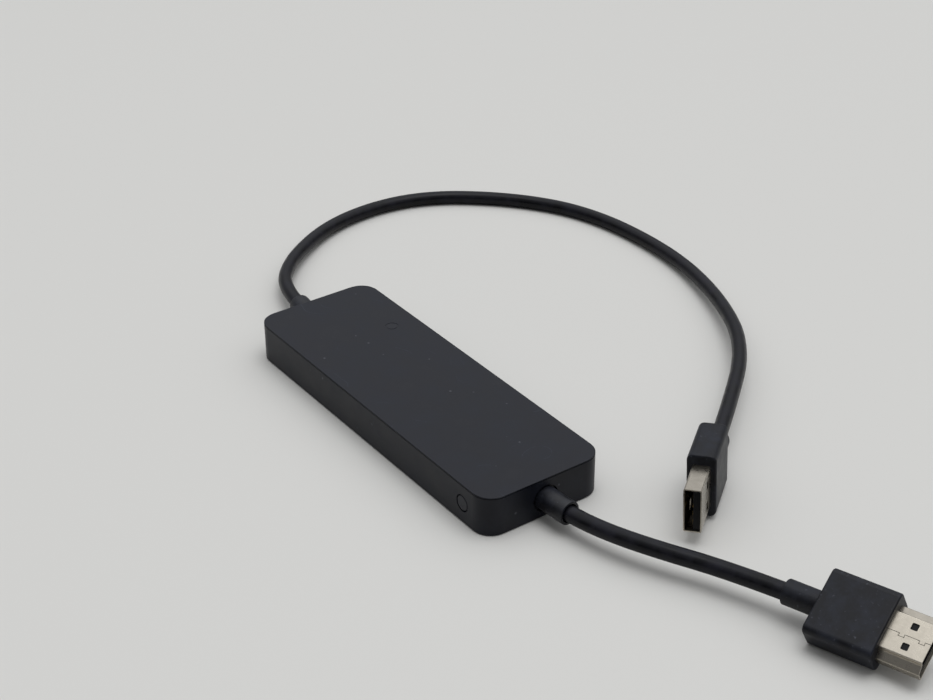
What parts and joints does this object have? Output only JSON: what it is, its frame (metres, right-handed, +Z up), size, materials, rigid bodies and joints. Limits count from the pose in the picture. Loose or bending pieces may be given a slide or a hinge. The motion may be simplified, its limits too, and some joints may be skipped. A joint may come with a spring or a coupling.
{
  "type": "wireless display adapter",
  "caption": "Flat wireless display adapter with a screen plug on a short cord, a power plug on a longer looped cord, and a round side button.",
  "frame": {"origin": "centre of the box's underside, on the surface that it lies on", "axes": "+X along the box towards its screen cord, +Y away from the button's side, +Z up"},
  "size_m": [0.2657, 0.1336, 0.0182],
  "materials": {
    "case_plastic": "fine moulded texture, black",
    "button_plastic": "moulded, black",
    "soft_jacket": "matte black, extruded and moulded soft jacket",
    "plated_shell": "nickel plated, bright",
    "black_insulator": "moulded, black",
    "gold_contact": "gold plated",
    "board_laminate": "green solder mask",
    "chip_plastic": "moulded chip body, black",
    "tinned_steel": "tinned sheet",
    "sink_aluminium": "anodised, natural",
    "pad_silicone": "soft grey-blue pad",
    "ferrite": "dark grey",
    "passive_ceramic": "tan",
    "light_pipe": "smoked, glossy",
    "wire_insulation": "thin coloured insulation",
    "mould_plastic": "clear white pre-mould",
    "screw_steel": "zinc plated"
  },
  "bodies": {
    "adapter": {"bottom_tray": "case_plastic", "top_cover": "case_plastic", "status_window": "light_pipe", "status_led": "light_pipe", "push_switch": "chip_plastic", "circuit_board": "board_laminate", "board_screws": "screw_steel", "processor": "chip_plastic", "thermal_pad": "pad_silicone", "heat_sink": "sink_aluminium", "memory_chips": "chip_plastic", "flash_chip": "chip_plastic", "screen_driver": "chip_plastic", "radio_chip": "chip_plastic", "shield_frame": "tinned_steel", "shield_can": "tinned_steel", "near_antenna": "tinned_steel", "far_antenna": "tinned_steel", "voltage_regulator": "chip_plastic", "power_inductors": "ferrite", "bulk_capacitors": "sink_aluminium", "crystal": "tinned_steel", "small_passives": "passive_ceramic", "screen_strain_relief": "soft_jacket", "power_strain_relief": "soft_jacket", "screen_cord_clamp": "tinned_steel", "power_cord_clamp": "tinned_steel", "screen_wire_ends": "wire_insulation", "power_wire_ends": "wire_insulation", "screen_cord": "soft_jacket", "power_cord": "soft_jacket", "screen_plug_grip": "soft_jacket", "screen_plug_shell": "plated_shell", "screen_plug_insert": "black_insulator", "screen_plug_contacts": "gold_contact", "screen_inner_mould": "mould_plastic", "power_plug_grip": "soft_jacket", "power_plug_shell": "plated_shell", "power_plug_insert": "black_insulator", "power_plug_contacts": "gold_contact", "power_inner_mould": "mould_plastic"},
    "button": {"side_button": "button_plastic"},
    "plunger": {"switch_plunger": "chip_plastic"}
  },
  "joints": [
    {"name": "button_press", "type": "slide", "parent": "adapter", "child": "button", "axis": [0, 1, 0], "range_m": [0, 0.00035], "stiffness_N_per_m": 4000},
    {"name": "plunger_press", "type": "slide", "parent": "adapter", "child": "plunger", "axis": [0, 1, 0], "range_m": [0, 0.00035]}
  ],
  "couplings": [
    {"joint": "plunger_press", "follows": "button_press", "ratio": 1}
  ]
}
